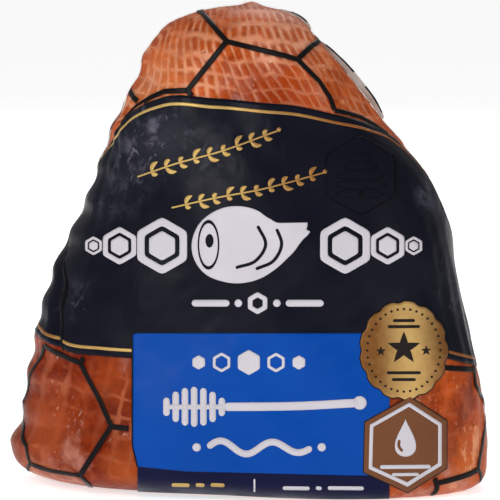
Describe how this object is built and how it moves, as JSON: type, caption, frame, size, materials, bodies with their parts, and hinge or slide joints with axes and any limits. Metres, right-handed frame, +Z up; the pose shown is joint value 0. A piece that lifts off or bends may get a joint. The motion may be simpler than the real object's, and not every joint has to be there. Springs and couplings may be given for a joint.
{
  "type": "vacuum packed half ham",
  "caption": "Half leg ham in a clear printed film pack shrunk tight by vacuum, tapering to a rounded top and standing on its broad foot.",
  "frame": {"origin": "on the surface the pack stands on, under the middle of the pack's box", "axes": "+Z up, from the broad foot to the rounded crown; -Y is the printed front, +X the right side of that front"},
  "size_m": [0.2402, 0.1442, 0.2414],
  "materials": {
    "printed_film": "clear shrunk film printed in dark blue with gold lines, glossy",
    "ham_rind": "smoked and glazed ham rind with net marks, seen through glossy film"
  },
  "bodies": {
    "root": {"vacuum_packed_ham": "printed_film"}
  },
  "joints": []
}
